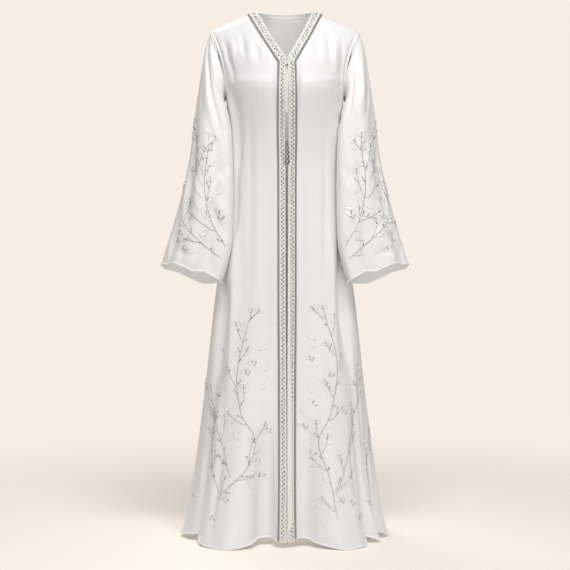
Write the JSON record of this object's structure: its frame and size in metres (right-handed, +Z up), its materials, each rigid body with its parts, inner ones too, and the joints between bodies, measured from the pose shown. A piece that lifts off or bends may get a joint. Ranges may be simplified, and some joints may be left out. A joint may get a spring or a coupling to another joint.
{
  "type": "abaya",
  "caption": "Full-length open abaya in white satin with a V neck, silver trim bands down the front, bell sleeves and a flared hem, in its worn hollow form",
  "frame": {"origin": "midway between the wearer's shoulders, at the height where the inner edge of the neck band meets the side of the neck", "axes": "+Z is up the garment's length, +Y is from the front to the back, and +X is towards the right of someone looking at the front"},
  "size_m": [0.656, 0.4243, 1.4092],
  "materials": {
    "satin": "white satin, smooth, with a soft sheen",
    "trim": "woven trim with silver scrolls, small beads and a twisted cord along its edge",
    "plain_strip": "plain cream strip of the same cloth",
    "silver_thread": "dark silver thread and beads"
  },
  "bodies": {
    "root": {"front_left": "satin", "front_right": "satin", "back": "satin", "sleeve_left": "satin", "sleeve_right": "satin", "front_band_left": "trim", "front_band_right": "trim", "neck_band": "trim", "front_facing": "plain_strip", "underlap": "plain_strip", "closure_knots": "silver_thread", "neck_hook": "silver_thread"}
  },
  "joints": []
}
